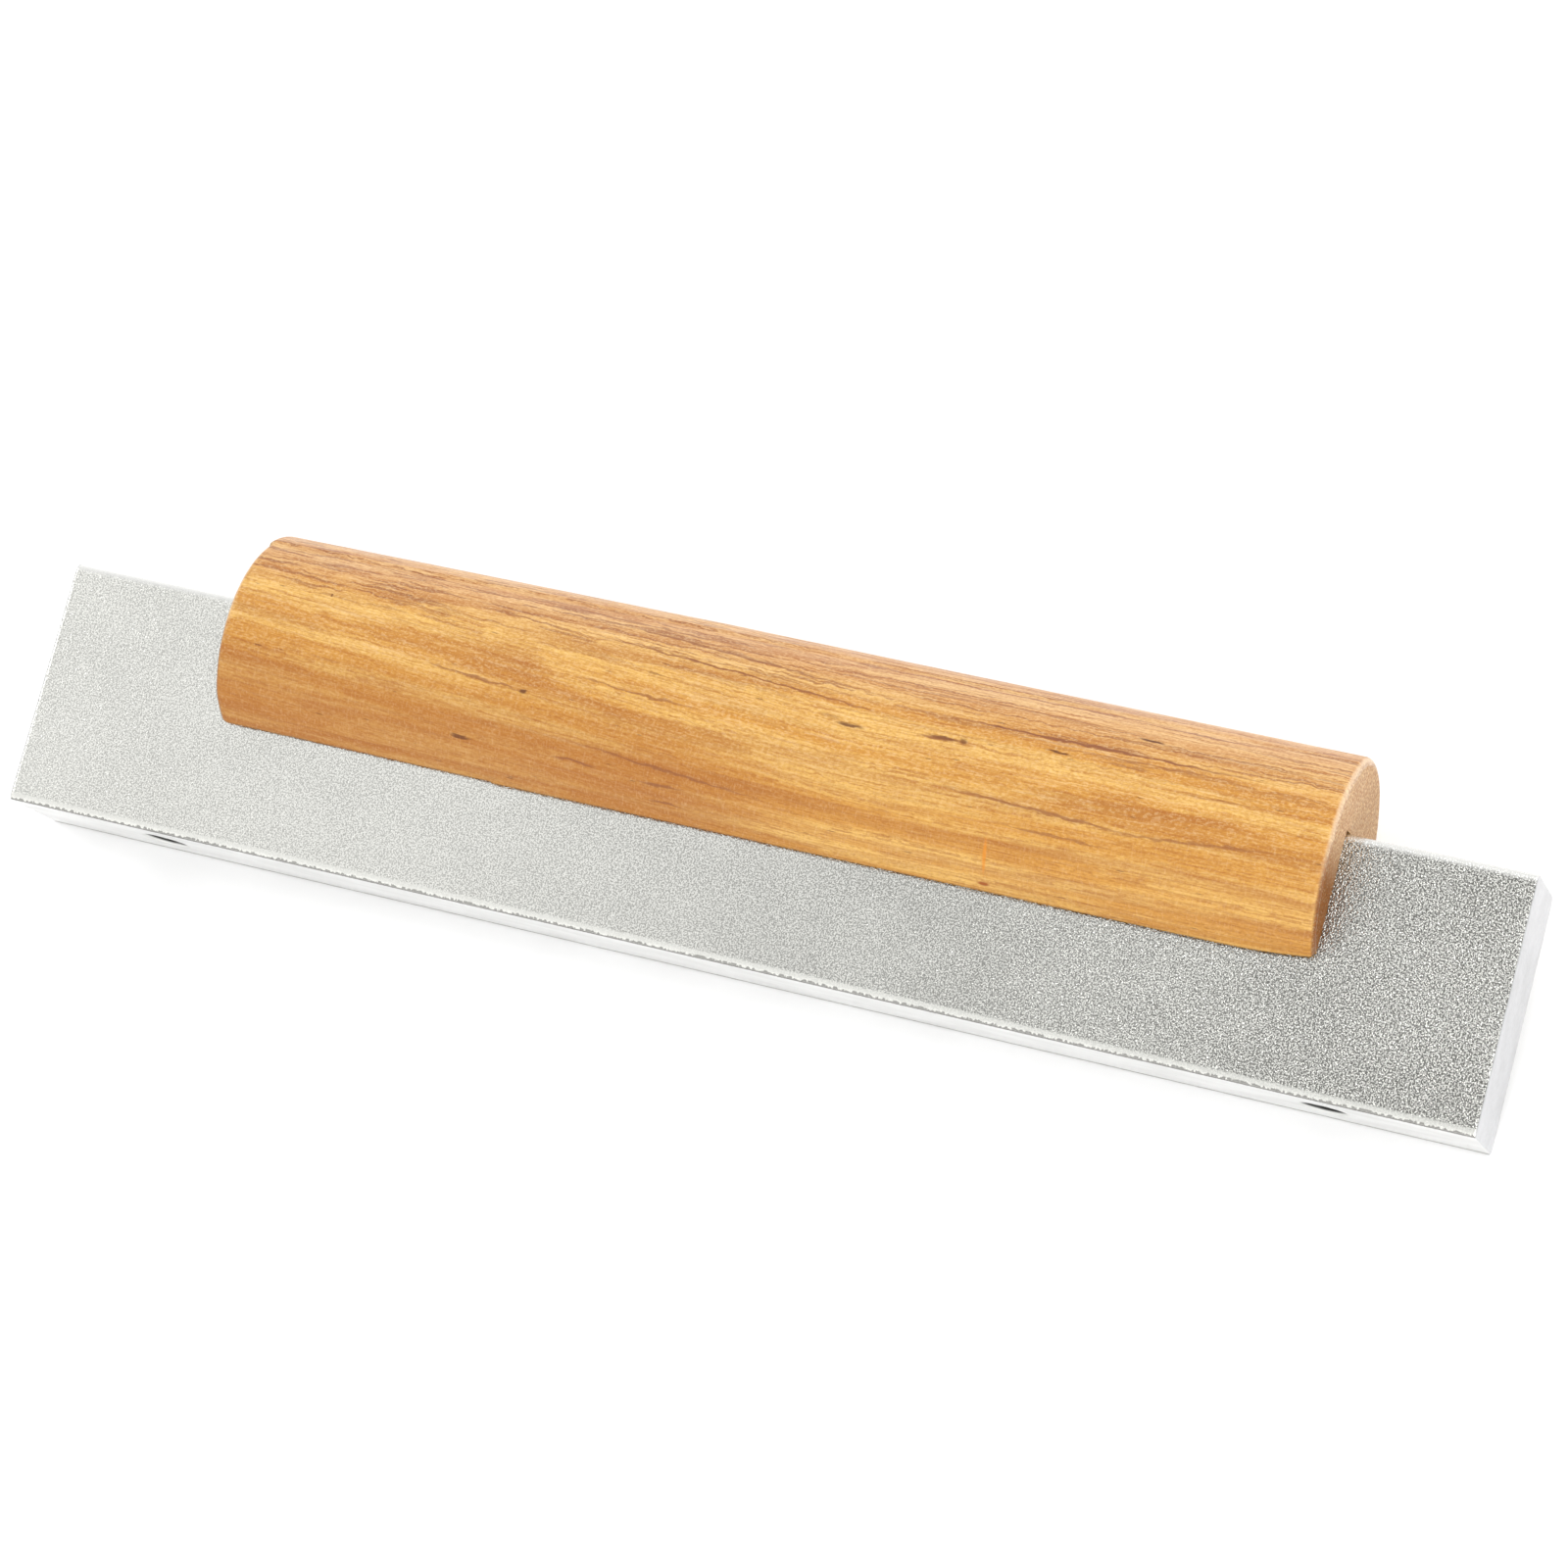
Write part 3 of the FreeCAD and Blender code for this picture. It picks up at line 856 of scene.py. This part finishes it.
        # its own place is subtracted first, then the lean
        leaning = put(tree, "VectorMath", {0: markPlace, 1: (-along, -rise, 0)}, operation="ADD").outputs[0]
        alongIt = put(tree, "SeparateXYZ", {"Vector": leaning}).outputs
        level = sums(tree, "SUBTRACT", alongIt["Y"], sums(tree, "MULTIPLY", alongIt["X"], lean))
        spot = put(tree, "CombineXYZ", {"X": alongIt["X"], "Y": level}).outputs[0]
        mask = use(tree, mark, vector=spot, size=(length, width, 1))
        colour = blendColours(tree, sums(tree, "MULTIPLY", mask, dark), colour, varnish[tone])

    # a run of varnish round the rod, ending in a dark drop
    strip = {"place": (run["x"], run["middle"], 0), "size": (run["width"], run["length"], 1)}
    stripMask = use(tree, mark, vector=unrolled, **strip)
    colour = blendColours(tree, sums(tree, "MULTIPLY", stripMask, 0.75), colour, varnish["amber"])
    dropMask = use(tree, mark, vector=unrolled, place=(run["x"], run["drop"], 0), size=run["dropSize"])
    colour = blendColours(tree, sums(tree, "MULTIPLY", dropMask, 0.9), colour, varnish["drop"])

    # end grain: where the surface faces along the handle
    facing = put(tree, "SeparateXYZ", {"Vector": put(tree, "NewGeometry", {}).outputs["Normal"]}).outputs["X"]
    endwise = sums(tree, "ABSOLUTE", facing)
    dots = use(tree, specks, vector=centre, along=9.0, across=0.42, share=0.5, size=0.34, seed=41.0)
    # painted reflection: the end face is darker and browner towards the wings
    endTone = blendColours(tree, fade(tree, parts["Z"], 4.0, -5.0), varnish["endGrain"], varnish["endWing"])
    speckle = use(tree, streaks, vector=centre, along=2.0, across=0.36, detail=2.0, seed=67.0)
    onWing = fade(tree, parts["Z"], 3.0, -3.0, 1.0, 0.35)
    paleFleck = sums(tree, "MULTIPLY", fade(tree, speckle, 0.48, 0.36, 0.0, 0.7), onWing)
    endTone = blendColours(tree, paleFleck, endTone, varnish["straw"])
    endTone = blendColours(tree, fade(tree, speckle, 0.5, 0.62, 0.0, 0.6), endTone, varnish["rust"])
    endTone = blendColours(tree, sums(tree, "MULTIPLY", late, 0.35), endTone, varnish["rust"])
    endTone = blendColours(tree, sums(tree, "MULTIPLY", dots, 0.45), endTone, varnish["bark"])
    # painted highlight on the rounded rim of each end, fading out towards the bottom
    rim = sums(tree, "MULTIPLY", fade(tree, endwise, 0.25, 0.6), fade(tree, endwise, 0.8, 0.98, 1.0, 0.0))
    colour = blendColours(tree, fade(tree, endwise, 0.35, 0.85), colour, endTone)
    rim = sums(tree, "MULTIPLY", rim, fade(tree, parts["Z"], -7.0, 6.0, 0.0, 0.45))
    colour = blendColours(tree, rim, colour, varnish["rimHighlight"])
    wire(tree, shader.inputs["Base Color"], colour)
    shader.inputs["Specular IOR Level"].default_value = specular

    shine = use(tree, streaks, vector=centre, along=5.0, across=1.6, detail=3.0, seed=45.0)
    wire(tree, shader.inputs["Roughness"], fade(tree, shine, 0.3, 0.7, *roughness))
    skin = use(tree, streaks, vector=centre, along=0.8, across=0.5, detail=2.0, seed=49.0)
    height = sums(tree, "ADD", sums(tree, "MULTIPLY", skin, 0.5), sums(tree, "MULTIPLY", fibres, 0.3))
    height = sums(tree, "SUBTRACT", height, sums(tree, "MULTIPLY", pores, 0.8))
    bumped(tree, shader, height, varnish["fineDepth"])
    return material


def glueFinish():
    material, tree, shader = newMaterial("cured_glue")
    place = toolPlace(tree, (0, 0, 0))
    cloud = use(tree, streaks, vector=place, along=6.0, across=1.2, detail=3.0, seed=7.0)
    bubbles = use(tree, specks, vector=place, along=0.7, across=0.7, share=0.3, size=0.3, seed=9.0)
    colour = blendColours(tree, fade(tree, cloud, 0.3, 0.7), glue["clear"], glue["dusty"])
    colour = blendColours(tree, sums(tree, "MULTIPLY", bubbles, 0.4), colour, glue["dusty"])
    wire(tree, shader.inputs["Base Color"], colour)
    wire(tree, shader.inputs["Roughness"], fade(tree, cloud, 0.3, 0.7, 0.22, 0.4))
    bumped(tree, shader, cloud, glue["bumpDepth"])
    return material


def tappedFinish():
    # the cut thread: bright at the mouth and on the crests, with painted shade down in the grooves and deeper
    # in the hole
    holeTones = {"bright": (0.78, 0.78, 0.76, 1), "dark": (0.035, 0.034, 0.032, 1), "roughness": (0.35, 0.7)}
    material, tree, shader = newMaterial("tapped_metal")
    place = toolPlace(tree, (0, 0, 0))
    parts = put(tree, "SeparateXYZ", {"Vector": place}).outputs
    holeX = abs(holePlaces[0]["pos_m"][0]) / millimetre
    aside = sums(tree, "SUBTRACT", sums(tree, "ABSOLUTE", parts["X"]), holeX)
    flat = put(tree, "CombineXYZ", {"X": aside, "Y": parts["Y"]}).outputs[0]
    radius = put(tree, "VectorMath", {0: flat}, operation="LENGTH").outputs["Value"]
    groove = fade(tree, radius, thread["minor"] + 0.12, thread["minor"] + 0.38)
    deep = fade(tree, parts["Z"], 0.15, 0.45)
    cloud = use(tree, streaks, vector=place, along=1.2, across=1.2, detail=3.0, seed=22.0)
    # painted shade: dark in the grooves and further down the hole
    holeShade = sums(tree, "MULTIPLY", deep, sums(tree, "MAXIMUM", groove, fade(tree, parts["Z"], 1.2, 3.0)))
    holeShade = sums(tree, "MULTIPLY", holeShade, fade(tree, cloud, 0.25, 0.5, 0.8, 1.0))
    wire(tree, shader.inputs["Base Color"], blendColours(tree, holeShade, holeTones["bright"], holeTones["dark"]))
    shader.inputs["Metallic"].default_value = 1.0
    wire(tree, shader.inputs["Roughness"], fade(tree, holeShade, 0.0, 1.0, *holeTones["roughness"]))
    return material


milled = {
    "bright": (0.86, 0.86, 0.85, 1),
    "worn": (0.76, 0.757, 0.745, 1),
    "spot": (0.42, 0.41, 0.39, 1),
    "dull": (0.30, 0.42),      # roughness between and on the cutter's lines
    "lineDepth": 0.003,
}
sawn = {
    "bright": (0.65, 0.65, 0.66, 1),
    "worn": (0.58, 0.58, 0.585, 1),
    "spot": (0.40, 0.40, 0.39, 1),
    "dull": (0.32, 0.44),
    "lineDepth": 0.002,
}
milledMetal = cutFinish("milled_metal", milled, 30.0, 0.14, 2.0)
sawnMetal = cutFinish("sawn_metal", sawn, 0.3, 0.5, 12.0)
tappedMetal = tappedFinish()
blastedMetal = blastedFinish()
paint(barBodyPiece, milledMetal, sawnMetal, tappedMetal)
for skin in (upperSkin, lowerSkin, backSkin):
    paint(skin, blastedMetal)
turnedWood = woodFinish("varnished_wood", varnish["shine"], varnish["roughness"])
cutWood = woodFinish("end_grain", varnish["endShine"], varnish["endRoughness"])
paint(handleWood, turnedWood, cutWood)
paint(glueFilm, glueFinish())
print("materials made")

# ---- bench, light and camera ----

studio = {
    "floorSize": 4.0,
    "floorColour": (0.97, 0.97, 0.97, 1),
    "horizon": (1.08, 1.08, 1.08, 1),
    "overhead": (0.895, 0.895, 0.895, 1),
    "gap": (0.04, 0.04, 0.04, 1),    # the dark opening between the overhead lights
    "gapMiddle": (0.07, -0.14, 0.988),
    "gapCore": 7.0,            # it is fully dark up to this many degrees from its middle,
    "gapReach": 15.0,          # and the light is full from here on
    "riseFrom": 0.30,          # height of the direction where the overhead part begins,
    "riseTo": 0.75,            # and where it is full
}
# place, what it faces, width and height in metres, and brightness of its face
softboxes = {
    "key_box": ((-0.95, 0.2, 0.55), (0, 0, 0.01), (0.6, 0.6), 2.2),
    "back_box": ((0.40, 0.80, 0.62), (0, 0, 0.01), (0.8, 0.5), 2.6),
    "spark_box": ((0.42, -0.13, 0.95), (0, 0, 0.01), (0.16, 0.7), 5.0),
    "front_box": ((0.62, -0.80, 0.45), (0, 0, 0.01), (0.7, 0.5), 3.0),
}
half = studio["floorSize"] / 2
floorMesh = bpy.data.meshes.new("bench_top")
corners = [(-half, -half, 0), (half, -half, 0), (half, half, 0), (-half, half, 0)]
floorMesh.from_pydata(corners, [], [(0, 1, 2, 3)])
floor = bpy.data.objects.new("bench_top", floorMesh)
bpy.context.scene.collection.objects.link(floor)
floorMaterial, tree, shader = newMaterial("bench_paint")
shader.inputs["Base Color"].default_value = studio["floorColour"]
shader.inputs["Roughness"].default_value = 0.8
paint(floor, floorMaterial)

world = bpy.data.worlds.new("studio")
bpy.context.scene.world = world
world.use_nodes = True
sky = world.node_tree
seen = put(sky, "TexCoord", {}).outputs["Generated"]
way = put(sky, "SeparateXYZ", {"Vector": seen}).outputs
height = fade(sky, way["Z"], studio["riseFrom"], studio["riseTo"])
glow = blendColours(sky, height, studio["horizon"], studio["overhead"])
towards = put(sky, "VectorMath", {0: seen, 1: studio["gapMiddle"]}, operation="DOT_PRODUCT").outputs["Value"]
edges = [math.cos(math.radians(studio[k])) for k in ("gapReach", "gapCore")]
glow = blendColours(sky, fade(sky, towards, *edges), glow, studio["gap"])
wire(sky, sky.nodes["Background"].inputs["Color"], glow)


def softbox(name, place, aim, size, brightness):
    light = bpy.data.lights.new(name, "AREA")
    light.shape = "RECTANGLE"
    light.size, light.size_y = size
    light.energy = brightness * math.pi * size[0] * size[1]
    lamp = bpy.data.objects.new(name, light)
    lamp.location = place
    lamp.rotation_euler = (Vector(aim) - Vector(place)).to_track_quat("-Z", "Y").to_euler()
    bpy.context.scene.collection.objects.link(lamp)


for name, values in softboxes.items():
    softbox(name, *values)

view = {
    "target": (0.00205, 0.00334, 0.015),
    "distance": 0.6077,
    "azimuth": 37.59,          # from straight in front of the sole, towards the right end
    "elevation": 59.87,
    "roll": -21.35,
    "lens": 108.7,
}
cameraData = bpy.data.cameras.new("studio_camera")
cameraData.lens = view["lens"]
cameraData.sensor_width = 36
cameraData.clip_end = 10
camera = bpy.data.objects.new("studio_camera", cameraData)
bpy.context.scene.collection.objects.link(camera)
azimuth, elevation = math.radians(view["azimuth"]), math.radians(view["elevation"])
spread = math.cos(elevation)
outwards = Vector((math.sin(azimuth) * spread, -math.cos(azimuth) * spread, math.sin(elevation)))
level = outwards.to_track_quat("Z", "Y").to_matrix().to_4x4()
place = Matrix.Translation(Vector(view["target"]) + outwards * view["distance"])
camera.matrix_world = place @ level @ Matrix.Rotation(math.radians(view["roll"]), 4, "Z")
bpy.context.scene.camera = camera
bpy.context.scene.view_settings.view_transform = "Standard"
bpy.context.scene.view_settings.look = "None"
print("studio made")
